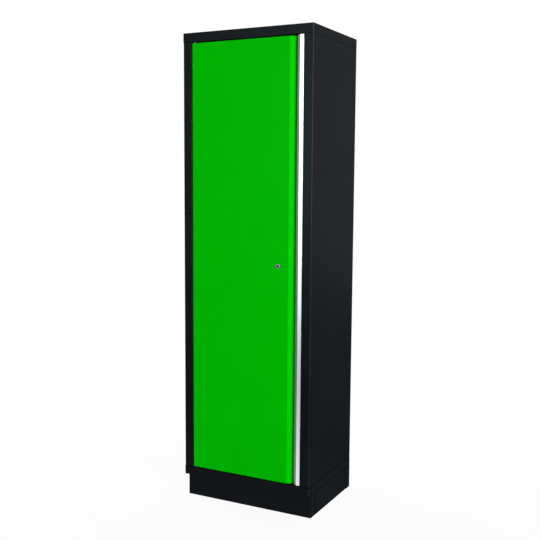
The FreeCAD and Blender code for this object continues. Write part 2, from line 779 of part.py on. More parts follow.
def lock_hole():
    """Hole through the door for the lock's barrel."""
    radius = LOCK_BARREL_RADIUS + HOLE_CLEARANCE
    return bar(radius, (LOCK_X, DOOR_FRONT - SHEET, LOCK_HEIGHT), (LOCK_X, BARREL_END, LOCK_HEIGHT))


def handle_rivet_holes():
    """Holes for the rivets in the handle's floor and the skin's flange."""
    radius = RIVET_RADIUS + HOLE_CLEARANCE
    front = BEVEL_END_Y - HANDLE_WALL - SHEET
    return [bar(radius, (RIVET_X, front, z), (RIVET_X, DOOR_BACK, z)) for z in handle_rivet_places()]


def door_skin():
    """Outer door sheet: hinge edge, face, bevel and handle flange, closed above and below."""
    path = [
        (DOOR_LEFT, DOOR_BACK),
        (DOOR_LEFT, DOOR_FRONT),
        (BEVEL_X, DOOR_FRONT),
        (BEVEL_END_X, BEVEL_END_Y),
        (SKIN_END_X, BEVEL_END_Y),
    ]
    skin = folded(path, 1, "XY", DOOR_BOTTOM, DOOR_TOP, bend=DOOR_EDGE_RADIUS)
    outline = path[:4] + [(BEVEL_END_X, DOOR_BACK)]
    edge = DOOR_EDGE_RADIUS + SHEET
    ends = []
    for bottom in (DOOR_BOTTOM, DOOR_TOP - SHEET):
        ends.append(rounded_prism(outline, [0, edge, edge, 0, 0], "XY", bottom, bottom + SHEET))
    pin_hole = bar(PIN_RADIUS + RUNNING_GAP, (PIVOT_X, PIVOT_Y, FLOOR), (PIVOT_X, PIVOT_Y, CEILING))
    return joined(skin, *ends).cut([pin_hole, lock_hole()] + handle_rivet_holes())


def door_liner():
    """Inner door sheet, folded forward at the handle."""
    path = [(DOOR_LEFT + SHEET, DOOR_BACK), (SKIN_END_X, DOOR_BACK), (SKIN_END_X, BEVEL_END_Y + SHEET)]
    sheet = folded(path, -1, "XY", DOOR_BOTTOM + SHEET, DOOR_TOP - SHEET)
    return holed(sheet.cut(lock_hole()), liner_screw_places())


def door_stiffener():
    """Hat channel between skin and liner."""
    half = STIFFENER_WIDTH / 2
    flange_y = DOOR_BACK - SHEET
    crown_y = DOOR_FRONT + 2 * SHEET
    path = [
        (-half - STIFFENER_FLANGE, flange_y),
        (-half, flange_y),
        (-half, crown_y),
        (half, crown_y),
        (half, flange_y),
        (half + STIFFENER_FLANGE, flange_y),
    ]
    channel = folded(path, -1, "XY", DOOR_BOTTOM + STIFFENER_END_GAP, DOOR_TOP - STIFFENER_END_GAP)
    return holed(channel, liner_screw_places())


def door_handle():
    """Aluminium edge profile with a finger groove behind its lip, which slopes back at its free edge."""
    crease = DOOR_RIGHT - HANDLE_LIP
    path = [
        (crease - HANDLE_LIP_SLOPE, DOOR_FRONT + HANDLE_LIP_DROP),
        (crease, DOOR_FRONT),
        (DOOR_RIGHT, DOOR_FRONT),
        (DOOR_RIGHT, BEVEL_END_Y),
        (HANDLE_SEAT_X, BEVEL_END_Y),
    ]
    top = CEILING - HANDLE_TOP_GAP
    profile = folded(path, 1, "XY", DOOR_BOTTOM, top, thickness=HANDLE_WALL, bend=HANDLE_BEND)
    return profile.cut(handle_rivet_holes())


def handle_rivets():
    """Rivets, flush in the groove and headed behind the skin's flange."""
    front = BEVEL_END_Y - HANDLE_WALL
    neck = BEVEL_END_Y + SHEET
    rivets = []
    for z in handle_rivet_places():
        shank = bar(RIVET_RADIUS, (RIVET_X, front, z), (RIVET_X, neck, z))
        head = bar(RIVET_HEAD_RADIUS, (RIVET_X, neck, z), (RIVET_X, neck + RIVET_HEAD, z))
        rivets.append(joined(shank, head))
    return group(rivets)


# Lock and its rods

def lock_line(radius, front, back):
    """Round bar on the lock's axis."""
    return bar(radius, (LOCK_X, front, LOCK_HEIGHT), (LOCK_X, back, LOCK_HEIGHT))


def turned_crank(shape):
    """Turn from level to the crank's place at rest, half its sweep back."""
    turned = shape.copy()
    turned.rotate(Vector(LOCK_X, 0, LOCK_HEIGHT), Vector(0, 1, 0), -CRANK_SWEEP / 2)
    return turned


def drive_square(half, front, back):
    """Square bar on the lock's axis, turned as the crank is."""
    low = (LOCK_X - half, front, LOCK_HEIGHT - half)
    return turned_crank(block(low, (LOCK_X + half, back, LOCK_HEIGHT + half)))


def lock_body():
    """Barrel through the door with a round bezel in front."""
    face = DOOR_FRONT - LOCK_BEZEL
    bezel = lock_line(LOCK_BEZEL_RADIUS, face, DOOR_FRONT)
    rim = [edge for edge in bezel.Edges if edge.BoundBox.YMax < DOOR_FRONT - LOCK_BEZEL / 2]
    bezel = bezel.makeFillet(LOCK_BEZEL / 2, rim)
    barrel = lock_line(LOCK_BARREL_RADIUS, DOOR_FRONT, BARREL_END)
    return joined(bezel, barrel).cut(lock_line(PLUG_RADIUS + PIN_CLEARANCE, face, BARREL_END))


def lock_nut():
    """Nut that clamps the lock's barrel behind the skin."""
    nut = hex_bar(LOCK_NUT_ACROSS, (0, 0), 0, LOCK_NUT)
    nut = nut.cut(bar(LOCK_BARREL_RADIUS + HOLE_CLEARANCE, (0, 0, 0), (0, 0, LOCK_NUT)))
    return upright_to(nut, (LOCK_X, DOOR_FRONT + SHEET, LOCK_HEIGHT), (0, 1, 0))


def lock_plug():
    """Turning core of the lock with its keyway and square drive."""
    face = DOOR_FRONT - LOCK_BEZEL + PLUG_RECESS
    core = lock_line(PLUG_RADIUS, face, BARREL_END)
    drive = drive_square(DRIVE_SQUARE / 2, BARREL_END, CRANK_BACK)
    keyway = block((LOCK_X - KEYWAY_WIDTH / 2, face, LOCK_HEIGHT - KEYWAY_HEIGHT / 2),
                   (LOCK_X + KEYWAY_WIDTH / 2, face + KEYWAY_DEPTH, LOCK_HEIGHT + KEYWAY_HEIGHT / 2))
    thread = screw_hole((LOCK_X, CRANK_BACK, LOCK_HEIGHT), (0, 1, 0))
    return joined(core, drive).cut([keyway, thread])


def lock_crank():
    """Two-armed lever on the plug with a pin for each rod."""
    half = CRANK_WIDTH / 2
    reach = CRANK_THROW + half
    points = [(LOCK_X - reach, LOCK_HEIGHT - half), (LOCK_X + reach, LOCK_HEIGHT - half),
              (LOCK_X + reach, LOCK_HEIGHT + half), (LOCK_X - reach, LOCK_HEIGHT + half)]
    lever = rounded_prism(points, [half] * 4, "XZ", CRANK_FRONT, CRANK_BACK)
    pins = []
    for side in (-1, 1):
        x = LOCK_X + side * CRANK_THROW
        pins.append(bar(CRANK_PIN_RADIUS, (x, CRANK_FRONT, LOCK_HEIGHT), (x, ROD_BACK, LOCK_HEIGHT)))
    crank = turned_crank(joined(lever, *pins))
    return crank.cut(drive_square(DRIVE_SQUARE / 2 + HOLE_CLEARANCE, CRANK_FRONT, CRANK_BACK))


def lock_rod(end):
    """Flat rod from the crank to the cap or the base, with a cross slot for the crank's pin."""
    side = ROD_SIDE[end]
    half_sweep = math.radians(CRANK_SWEEP / 2)
    near = CRANK_THROW * math.cos(half_sweep)
    pin_height = LOCK_HEIGHT + side * CRANK_THROW * math.sin(half_sweep)
    left, right = rod_x(end)
    tip = level(end, ROD_END_GAP)
    tail = pin_height + side * ROD_WIDTH / 2
    corner = ROD_WIDTH / 4
    low, high = sorted((tip, tail))
    points = [(left, low), (right, low), (right, high), (left, high)]
    rod = rounded_prism(points, [corner] * 4, "XZ", ROD_FRONT, ROD_BACK)
    middle = LOCK_X + side * (CRANK_THROW + near) / 2
    half_length = (CRANK_THROW - near) / 2 + CRANK_PIN_RADIUS + RUNNING_GAP
    half_height = CRANK_PIN_RADIUS + CRANK_SLOT_PLAY
    left, right = middle - half_length, middle + half_length
    low, high = pin_height - half_height, pin_height + half_height
    points = [(left, low), (right, low), (right, high), (left, high)]
    return rod.cut(rounded_prism(points, [half_height] * 4, "XZ", ROD_FRONT - SHEET, ROD_BACK + SHEET))


def rod_guide(end, height):
    """Plastic guide on the liner that holds a lock rod."""
    left, right = rod_x(end)
    wall = RUNNING_GAP + ROD_GUIDE_WALL
    low = height - ROD_GUIDE_HEIGHT / 2
    high = height + ROD_GUIDE_HEIGHT / 2
    body = block((left - wall, DOOR_BACK, low), (right + wall, ROD_BACK + wall, high))
    slot = block((left - RUNNING_GAP, ROD_FRONT - RUNNING_GAP, low),
                 (right + RUNNING_GAP, ROD_BACK + RUNNING_GAP, high))
    return body.cut(slot)


def rod_guides():
    """Two guides for each rod, one near the lock and one near the rod's end."""
    guides = []
    for end, side in ROD_SIDE.items():
        guides.append(rod_guide(end, LOCK_HEIGHT - side * ROD_GUIDE_FROM_LOCK))
        guides.append(rod_guide(end, level(end, ROD_GUIDE_FROM_END)))
    return group(guides)


# Door stop and catches

def door_stop_strip():
    """Angle on the right post that the closed door comes up to."""
    path = [(OPENING_X - STOP_REACH, STOP_FRONT), (OPENING_X, STOP_FRONT),
            (OPENING_X, STOP_FRONT + STOP_FLANGE)]
    strip = folded(path, 1, "XY", FLOOR + STOP_END_GAP, CEILING - STOP_END_GAP)
    return holed(strip, stop_screw_places())


def door_bumpers():
    """Rubber buttons on the stop strip."""
    x = OPENING_X - BUMPER_FROM_POST
    front = DOOR_BACK + RUNNING_GAP
    heights = (FLOOR + BUMPER_FROM_END, (FLOOR + CEILING) / 2, CEILING - BUMPER_FROM_END)
    return group([bar(BUMPER_RADIUS, (x, front, z), (x, STOP_FRONT, z)) for z in heights])


def magnet(end):
    """Magnet in a catch, facing the strike plate."""
    middle = level(end, CATCH_HEIGHT / 2)
    half_length = MAGNET_LENGTH / 2
    half_height = MAGNET_HEIGHT / 2
    front = CATCH_FRONT - MAGNET_PROUD
    return block((CATCH_X - half_length, front, middle - half_height),
                 (CATCH_X + half_length, front + MAGNET_DEPTH, middle + half_height))


def magnet_catch(end):
    """Plastic housing of a magnet."""
    low, high = between(end, 0, CATCH_HEIGHT)
    half = CATCH_LENGTH / 2
    body = block((CATCH_X - half, CATCH_FRONT, low), (CATCH_X + half, CATCH_FRONT + CATCH_DEPTH, high))
    return holed(body.cut(magnet(end)), catch_screw_places(end), CATCH_SCREW_LENGTH)


def strike_plate(end):
    """Steel plate on the liner, opposite a magnet."""
    middle = level(end, CATCH_HEIGHT / 2)
    half_length = STRIKE_LENGTH / 2
    half_height = STRIKE_HEIGHT / 2
    return block((CATCH_X - half_length, DOOR_BACK, middle - half_height),
                 (CATCH_X + half_length, DOOR_BACK + STRIKE_THICKNESS, middle + half_height))


# The whole cabinet

def carcass_nodes():
    """Everything that stands still."""
    side = right_side_panel()
    catch_places = catch_screw_places("upper") + catch_screw_places("lower")
    nodes = {
        "top_cap": end_tray("upper", CEILING, HEIGHT),
        "base_tray": base_tray(),
        "plinth_front": wrapped_board(PLINTH_X, PLINTH_FRONT, WRAP_END),
        "plinth_right": plinth_right(),
        "plinth_left": mirrored(plinth_right()),
        "plinth_back": wrapped_board(HALF_WIDTH, BACK, REAR_WRAP_END),
        "right_side_panel": holed(side, stop_screw_places()),
        "left_side_panel": mirrored(side),
        "back_panel": back_panel(),
        "door_stop_strip": door_stop_strip(),
        "door_bumpers": door_bumpers(),
        "thrust_washer": thrust_washer(),
        "shelf_clips": shelf_clips(),
        "catch_magnets": group([magnet("upper"), magnet("lower")]),
        "foot_gussets": group([foot_gusset(*place) for place in foot_places().values()]),
        "foot_nuts": group([foot_nut(*place) for place in foot_places().values()]),
        "cap_screws": screws(panel_screw_places("upper")),
        "base_screws": screws(panel_screw_places("lower")),
        "back_panel_screws": screws(back_screw_places()),
        "stop_strip_screws": screws(stop_screw_places()),
        "plinth_screws": screws(plinth_screw_places(-1) + plinth_screw_places(1)),
        "hinge_screws": screws(hinge_screw_places("upper") + hinge_screw_places("lower")),
        "catch_screws": screws(catch_places, CATCH_SCREW_LENGTH),
    }
    for place_name, y in UPRIGHT_PLACES.items():
        upright = right_upright(y)
        nodes["shelf_upright_" + place_name + "_right"] = upright
        nodes["shelf_upright_" + place_name + "_left"] = mirrored(upright)
    for number in range(1, SHELF_COUNT + 1):
        nodes["shelf_" + str(number)] = shelf(number)
    for end in ("upper", "lower"):
        nodes[end + "_hinge_plate"] = hinge_plate(end)
        nodes[end + "_pivot_pin"] = pivot_pin(end)
        nodes[end + "_magnet_catch"] = magnet_catch(end)
    return nodes


def moving_nodes():
    """The door, its lock and the levelling feet."""
    nodes = {
        "door_skin": door_skin(),
        "door_liner": door_liner(),
        "door_stiffener": door_stiffener(),
        "door_handle": door_handle(),
        "handle_rivets": handle_rivets(),
        "liner_screws": screws(liner_screw_places()),
        "lock_body": lock_body(),
        "lock_nut": lock_nut(),
        "lock_plug": lock_plug(),
        "lock_crank": lock_crank(),
        "crank_screw": screw((LOCK_X, CRANK_BACK, LOCK_HEIGHT), (0, 1, 0)),
        "rod_guides": rod_guides(),
        "strike_plates": group([strike_plate("upper"), strike_plate("lower")]),
    }
    for end in ("upper", "lower"):
        nodes[end + "_pivot_block"] = pivot_block(end)
        nodes[end + "_lock_rod"] = lock_rod(end)
    for place_name, place in foot_places().items():
        nodes["levelling_foot_" + place_name] = levelling_foot(*place)
    return nodes


os.makedirs("parts", exist_ok=True)
for node_name, node_shape in {**carcass_nodes(), **moving_nodes()}.items():
    node_shape.exportStep("parts/" + node_name + ".step")
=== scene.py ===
import json
import math

import bpy
from mathutils import Matrix, Vector


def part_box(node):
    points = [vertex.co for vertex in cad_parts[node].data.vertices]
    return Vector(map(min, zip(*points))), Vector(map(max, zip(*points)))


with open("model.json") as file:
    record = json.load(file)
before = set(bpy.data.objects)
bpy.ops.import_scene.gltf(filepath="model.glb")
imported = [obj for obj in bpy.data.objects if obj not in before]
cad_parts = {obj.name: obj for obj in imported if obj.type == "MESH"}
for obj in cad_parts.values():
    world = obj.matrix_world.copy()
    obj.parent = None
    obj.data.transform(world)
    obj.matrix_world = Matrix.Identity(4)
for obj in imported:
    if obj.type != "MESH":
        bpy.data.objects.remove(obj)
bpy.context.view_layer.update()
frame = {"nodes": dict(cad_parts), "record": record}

# The photograph's view, fitted to the cabinet's corners in a frame of 540 by 540 pixels
PHOTO_PIXELS = 540
FOCAL_PIXELS = 835.92
SENSOR_MM = 36.0
CAMERA_PLACE = Vector((1.6718, -3.2360, 1.4001))
CAMERA_AZIMUTH = 27.324
CAMERA_ELEVATION = 6.254
CAMERA_ROLL = 0.368

# Colours, linear
BLACK_COAT_DARK = (0.0018, 0.0027, 0.0036)
BLACK_COAT_LIGHT = (0.0025, 0.0036, 0.0047)
GREEN_COAT_DARK = (0.0, 0.388, 0.0)
GREEN_COAT_LIGHT = (0.0, 0.403, 0.0)
ALUMINIUM_DARK = (0.80, 0.81, 0.82)
ALUMINIUM_LIGHT = (0.92, 0.93, 0.94)
CHROME = (0.21, 0.21, 0.22)
BLACK_NICKEL = (0.055, 0.048, 0.065)
ZINC_DARK = (0.50, 0.52, 0.54)
ZINC_LIGHT = (0.66, 0.67, 0.69)
PLASTIC_DARK = (0.010, 0.010, 0.011)
PLASTIC_LIGHT = (0.018, 0.018, 0.019)
RUBBER_DARK = (0.008, 0.008, 0.008)
RUBBER_LIGHT = (0.014, 0.014, 0.014)
FLOOR_COLOUR = (0.45, 0.45, 0.45)
WHITE = (1.0, 1.0, 1.0)
COOL_WHITE = (0.72, 1.06, 1.25)


# Helpers for node materials

def opaque(colour):
    """A colour with full alpha, as colour sockets take it."""
    return (*colour, 1.0)


def scaled(colour, share):
    """A share of a colour."""
    return tuple(share * channel for channel in colour)


class Shader:
    """A material with one principled shader and short calls for its other nodes."""

    def __init__(self, name):
        self.material = bpy.data.materials.new(name)
        self.material.use_nodes = True
        self.tree = self.material.node_tree
        self.principled = self.tree.nodes["Principled BSDF"]
        self.coordinates = self.tree.nodes.new("ShaderNodeTexCoord").outputs["Object"]

    def set(self, **values):
        """Constant values on the shader's own sockets; underscores stand for spaces."""
        for name, value in values.items():
            self.principled.inputs[name.replace("_", " ")].default_value = value

    def drive(self, socket, output):
        """Links a node's output to one of the shader's sockets."""
        self.tree.links.new(output, self.principled.inputs[socket])

    def axis(self, name):
        """One of the object coordinates, in metres."""
        node = self.tree.nodes.new("ShaderNodeSeparateXYZ")
        self.tree.links.new(self.coordinates, node.inputs["Vector"])
        return node.outputs[name]

    def distance(self):
        """Distance from the object's origin, in metres."""
        node = self.tree.nodes.new("ShaderNodeVectorMath")
        node.operation = "LENGTH"
        self.tree.links.new(self.coordinates, node.inputs[0])
        return node.outputs["Value"]

    def stretched(self, scale):
        """Object coordinates times a scale for each axis."""
        node = self.tree.nodes.new("ShaderNodeMapping")
        node.inputs["Scale"].default_value = scale
        self.tree.links.new(self.coordinates, node.inputs["Vector"])
        return node.outputs["Vector"]

    def noise(self, cells, detail, vector=None):
        """Noise from 0 to 1, in cells to a unit of the vector and levels of detail."""
        node = self.tree.nodes.new("ShaderNodeTexNoise")
        node.inputs["Scale"].default_value = cells
        node.inputs["Detail"].default_value = detail
        self.tree.links.new(vector or self.coordinates, node.inputs["Vector"])
        return node.outputs["Fac"]

    def remap(self, value, source=(0.0, 1.0), target=(0.0, 1.0), kind="LINEAR"):
        """An output taken from one range of numbers to another and held within that."""
        node = self.tree.nodes.new("ShaderNodeMapRange")
        node.interpolation_type = kind
        for name, number in zip(("From Min", "From Max", "To Min", "To Max"), (*source, *target)):
            node.inputs[name].default_value = number
        self.tree.links.new(value, node.inputs["Value"])
        return node.outputs["Result"]

    def math(self, operation, first, second=0.0):
        """A sum, product or other operation on an output and an output or a number."""
        node = self.tree.nodes.new("ShaderNodeMath")
        node.operation = operation
        self.tree.links.new(first, node.inputs[0])
        if isinstance(second, float):
            node.inputs[1].default_value = second
        else:
            self.tree.links.new(second, node.inputs[1])
        return node.outputs["Value"]

    def combine(self, operation, outputs):
        """One operation taken over a list of outputs."""
        total = outputs[0]
        for output in outputs[1:]:
            total = self.math(operation, total, output)
        return total

    def near(self, value, place, reach):
        """1 where an output is within reach of a place, 0 elsewhere."""
        node = self.tree.nodes.new("ShaderNodeMath")
        node.operation = "COMPARE"
        self.tree.links.new(value, node.inputs[0])
        node.inputs[1].default_value = place
        node.inputs[2].default_value = reach
        return node.outputs["Value"]

    def outside(self, low, high):
        """1 where X or Y is outside of a rectangle, 0 inside it."""
        beyond = []
        for name, first, last in (("X", low[0], high[0]), ("Y", low[1], high[1])):
            place = self.axis(name)
            beyond.append(self.math("LESS_THAN", place, first))
            beyond.append(self.math("GREATER_THAN", place, last))
        return self.combine("MAXIMUM", beyond)

    def mix(self, factor, first, second):
        """A colour between two, each of them a plain colour or an output."""
        node = self.tree.nodes.new("ShaderNodeMix")
        node.data_type = "RGBA"
        self.tree.links.new(factor, node.inputs["Factor"])
        for socket, colour in (("A", first), ("B", second)):
            if isinstance(colour, tuple):
                node.inputs[socket].default_value = opaque(colour)
            else:
                self.tree.links.new(colour, node.inputs[socket])
        return node.outputs["Result"]

    def bump(self, height, distance, strength):
        """Bump of a height map, with its full height in metres, on the base and on the coat over it."""
        node = self.tree.nodes.new("ShaderNodeBump")
        node.inputs["Strength"].default_value = strength
        node.inputs["Distance"].default_value = distance
        self.tree.links.new(height, node.inputs["Height"])
        for socket in ("Normal", "Coat Normal"):
            self.drive(socket, node.outputs["Normal"])


# Powder coat: noises in cells a metre and levels of detail, bumps in metres and strength
MOTTLE_NOISE = (5.0, 4.0)
MOTTLE_CONTRAST = (0.35, 0.65)
GRIT_NOISE = (2600.0, 1.0)
PEEL_NOISE = (300.0, 3.0)
PEEL_BUMP = (0.0004, 0.5)
COAT_ROUGHNESS = (0.43, 0.53)
SATIN_IOR = 2.5
SATIN_ROUGHNESS = 0.33
BLACK_GLOSS = 0.028
PAINTED_CORNER_SHEEN = 0.058
GREEN_GLOSS = 0.005

# Painted sheen of extra gloss on the upright corners, and painted shade in the joints above and below
# the base band
OUTER_SHELL = ("top_cap", "base_tray", "plinth_front", "plinth_back", "plinth_left", "plinth_right",
               "left_side_panel", "right_side_panel")
CORNER_REACH = 0.0045
JOINT_DEPTH = 0.0016
JOINT_HALF_WIDTH = 0.00152


def powder_coat(name, dark, light, gloss):
    """Baked powder coat: faint mottling, the fine peel of the cured powder and a weak satin layer."""
    shader = Shader(name)
    shader.set(Specular_IOR_Level=0.0)
    shader.set(Coat_Weight=gloss, Coat_IOR=SATIN_IOR, Coat_Roughness=SATIN_ROUGHNESS)
    mottle = shader.remap(shader.noise(*MOTTLE_NOISE), source=MOTTLE_CONTRAST)
    shader.drive("Base Color", shader.mix(mottle, dark, light))
    shader.drive("Roughness", shader.remap(shader.noise(*GRIT_NOISE), target=COAT_ROUGHNESS))
    shader.bump(shader.noise(*PEEL_NOISE), *PEEL_BUMP)
    return shader


def black_coat(name):
    """Plain black powder coat."""
    return powder_coat(name, BLACK_COAT_DARK, BLACK_COAT_LIGHT, BLACK_GLOSS)


def green_coat():
    """Plain green powder coat."""
    return powder_coat("green_powder_coat", GREEN_COAT_DARK, GREEN_COAT_LIGHT, GREEN_GLOSS)


def black_coat_with_painted_sheen_and_shade():
    """Black powder coat with a painted sheen of extra gloss on the upright corner bends, and painted
    shade in the joints of the base, where the gloss is taken out.
    """
    shader = black_coat("black_powder_coat_painted_sheen_and_shade")
    # Painted sheen: the satin coat gets more gloss within reach of the upright corners, so that a
    # highlight shows along them.
    corner_x, corner_y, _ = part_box("top_cap")[1]
    reached = []
    for name, corner in (("X", corner_x), ("Y", corner_y)):
        from_middle = shader.math("ABSOLUTE", shader.axis(name))
        reached.append(shader.math("GREATER_THAN", from_middle, corner - CORNER_REACH))
    on_corner = shader.combine("MINIMUM", reached)
    # Painted shade: the satin coat is taken out in thin bands on the bends at the base band's top and
    # foot, so that the joints there read as dark lines.
    painted_joint_shade_bands = []
    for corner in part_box("base_tray"):
        painted_joint_shade_bands.append(shader.near(shader.axis("Z"), corner[2] - JOINT_DEPTH, JOINT_HALF_WIDTH))
    outside_painted_joint_shade = shader.remap(shader.combine("MAXIMUM", painted_joint_shade_bands), target=(1.0, 0.0))
    gloss = shader.remap(on_corner, target=(BLACK_GLOSS, PAINTED_CORNER_SHEEN))
    shader.drive("Coat Weight", shader.math("MULTIPLY", gloss, outside_painted_joint_shade))
    return shader


# Metals: noises in cells a metre and levels of detail, bumps in metres and strength
DIE_LINE_STRETCH = (2600.0, 2600.0, 3.0)
DIE_LINE_NOISE = (1.0, 3.0)
DIE_LINE_BUMP = (0.00002, 0.4)
DIE_LINE_ROUGHNESS = (0.26, 0.38)
DIE_LINE_ANISOTROPY = 0.3
PAINTED_SHADE_SHARE = 0.30
BEHIND_FLAT_ROUGHNESS_ADDED = 0.1
FLAT_DEPTH = 0.0001
EDGE_FADE = 0.0002
POLISH_NOISE = (900.0, 4.0)
POLISH_BUMP = (0.00001, 0.2)
POLISH_ROUGHNESS = (0.18, 0.28)
ZINC_CLOUD_NOISE = (60.0, 5.0)
ZINC_CLOUD_CONTRAST = (0.3, 0.7)
ZINC_GRAIN_NOISE = (1500.0, 2.0)
ZINC_BUMP = (0.00002, 0.3)
ZINC_ROUGHNESS = (0.30, 0.46)


def drawn_aluminium():
    """Extrusion with fine die lines along its length: its front flat keeps the metal's colour, and the
    rest is darkened as painted shade and made rougher.
    """
    shader = Shader("drawn_aluminium")
    shader.set(Metallic=1.0, Anisotropic=DIE_LINE_ANISOTROPY)
    lines = shader.noise(*DIE_LINE_NOISE, shader.stretched(DIE_LINE_STRETCH))
    # Painted shade: everything behind the front flat, the lip's facet and the groove, gets only a share
    # of the metal's colour.
    flat_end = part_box("door_handle")[0][1] + FLAT_DEPTH
    behind_flat = shader.remap(shader.axis("Y"), source=(flat_end, flat_end + EDGE_FADE))
    bright = shader.mix(lines, ALUMINIUM_DARK, ALUMINIUM_LIGHT)
    painted_shade_colour = shader.mix(lines, scaled(ALUMINIUM_DARK, PAINTED_SHADE_SHARE),
                      scaled(ALUMINIUM_LIGHT, PAINTED_SHADE_SHARE))
    shader.drive("Base Color", shader.mix(behind_flat, bright, painted_shade_colour))
    line_roughness = shader.remap(lines, target=DIE_LINE_ROUGHNESS)
    added_roughness = shader.remap(behind_flat, target=(0.0, BEHIND_FLAT_ROUGHNESS_ADDED))
    shader.drive("Roughness", shader.math("ADD", line_roughness, added_roughness))
    shader.bump(lines, *DIE_LINE_BUMP)
    return shader


def polished_plate(name, colour):
    """Bright plating with faint polishing marks."""
    shader = Shader(name)
    shader.set(Metallic=1.0, Base_Color=opaque(colour))
    marks = shader.noise(*POLISH_NOISE)
    shader.drive("Roughness", shader.remap(marks, target=POLISH_ROUGHNESS))
    shader.bump(marks, *POLISH_BUMP)
    return shader


def zinc_plate():
    """Bright zinc with its cloudy grain."""
    shader = Shader("zinc_plated_steel")
    shader.set(Metallic=1.0)
    cloud = shader.remap(shader.noise(*ZINC_CLOUD_NOISE), source=ZINC_CLOUD_CONTRAST)
    shader.drive("Base Color", shader.mix(cloud, ZINC_DARK, ZINC_LIGHT))
    shader.drive("Roughness", shader.remap(cloud, target=ZINC_ROUGHNESS))
    shader.bump(shader.noise(*ZINC_GRAIN_NOISE), *ZINC_BUMP)
    return shader


# Feet and moulded pieces: noises in cells a metre and levels of detail, bumps in metres and strength
FOOT_PAD_TOP = 0.0108
FOOT_NOISE = (900.0, 4.0)
FOOT_BUMP = (0.00004, 0.4)
FOOT_ROUGHNESS = (0.34, 0.52)
PLASTIC_NOISE = (1800.0, 3.0)
PLASTIC_ROUGHNESS = (0.44, 0.56)
RUBBER_NOISE = (1200.0, 3.0)
RUBBER_ROUGHNESS = (0.69, 0.81)
MOULD_BUMP = (0.00006, 0.5)
MOULD_SPECULAR = 0.35


def levelling_foot():
    """Zinc-plated stud on a black moulded pad."""
    shader = Shader("levelling_foot")
    metal = shader.remap(shader.axis("Z"), source=(FOOT_PAD_TOP, FOOT_PAD_TOP + EDGE_FADE))
    grain = shader.noise(*FOOT_NOISE)
    pad = shader.mix(grain, PLASTIC_DARK, PLASTIC_LIGHT)
    stud = shader.mix(grain, ZINC_DARK, ZINC_LIGHT)
    shader.drive("Base Color", shader.mix(metal, pad, stud))
    shader.drive("Metallic", metal)
    shader.drive("Roughness", shader.remap(grain, target=FOOT_ROUGHNESS))
    shader.bump(grain, *FOOT_BUMP)
    return shader


def moulded(name, dark, light, noise, roughness):
    """Moulded plastic or rubber with a spark-eroded grain."""
    shader = Shader(name)
    shader.set(Specular_IOR_Level=MOULD_SPECULAR)
    grain = shader.noise(*noise)
    shader.drive("Base Color", shader.mix(grain, dark, light))
    shader.drive("Roughness", shader.remap(grain, target=roughness))
    shader.bump(grain, *MOULD_BUMP)
    return shader


def dress_nodes():
    """Gives every CAD node the finish of its slot, or its own where one slot covers several finishes or
    where painted sheen or shade is added.
    """
    finishes = {
        "black_coat": black_coat("black_powder_coat"),
        "green_coat": green_coat(),
        "aluminium": drawn_aluminium(),
        "chrome": polished_plate("polished_chrome", CHROME),
        "dark_chrome": polished_plate("black_nickel", BLACK_NICKEL),
        "zinc_steel": zinc_plate(),
        "black_plastic": moulded("black_plastic", PLASTIC_DARK, PLASTIC_LIGHT, PLASTIC_NOISE,
                                 PLASTIC_ROUGHNESS),
        "black_rubber": moulded("black_rubber", RUBBER_DARK, RUBBER_LIGHT, RUBBER_NOISE,
                                RUBBER_ROUGHNESS),
    }
    shell_finish = black_coat_with_painted_sheen_and_shade()
    foot_finish = levelling_foot()
    for entry in frame["record"]["subparts"]:
        name = entry["node"]
        if name in OUTER_SHELL:
            finish = shell_finish
        elif name.startswith("levelling_foot"):
            finish = foot_finish
        # Painted shade: the pivot pins are darkened with the black nickel finish, so that they show no
        # glint in the gap above the door.
        elif name.endswith("pivot_pin"):
            finish = finishes["dark_chrome"]
        else:
            finish = finishes[entry["material_slot"]]
        node = frame["nodes"][name]
        node.data.materials.clear()
        node.data.materials.append(finish.material)


# Stage: a floor that is white to the camera, and what metal sees of it at a distance from the middle
FLOOR_REACH = 30.0
FLOOR_ROUGHNESS = 0.9
FLOOR_WHITE_NEAR = 0.95
FLOOR_FADE = (0.9, 3.0)
UNDER_MARGIN = 0.004
REFLECTED_FLOOR_DARKEST = 0.30
REFLECTED_FLOOR_NEAR = (2.4, 0.3)
REFLECTED_FLOOR_FAR = (5.0, 9.0)
REFLECTED_FLOOR_BEHIND = (0.2, 1.2)
AMBIENT = 0.12
FULL_WHITE = 1.0


def seen_directly(tree):
    """1 for what the camera, metal and glass see of the background, 0 for light on the object."""
    path = tree.nodes.new("ShaderNodeLightPath")
    total = path.outputs["Is Camera Ray"]
    for name in ("Is Glossy Ray", "Is Transmission Ray"):
        node = tree.nodes.new("ShaderNodeMath")
        node.operation = "MAXIMUM"
        tree.links.new(total, node.inputs[0])
        tree.links.new(path.outputs[name], node.inputs[1])
        total = node.outputs["Value"]
    return total


def make_world():
    """White studio surround with a plain ambient level."""
    world = bpy.data.worlds.new("studio")
    world.use_nodes = True
    tree = world.node_tree
    background = tree.nodes["Background"]
    background.inputs["Color"].default_value = opaque(WHITE)
    strength = tree.nodes.new("ShaderNodeMapRange")
    strength.inputs["To Min"].default_value = AMBIENT
    strength.inputs["To Max"].default_value = FULL_WHITE
    tree.links.new(seen_directly(tree), strength.inputs["Value"])
    tree.links.new(strength.outputs["Result"], background.inputs["Strength"])
    bpy.context.scene.world = world


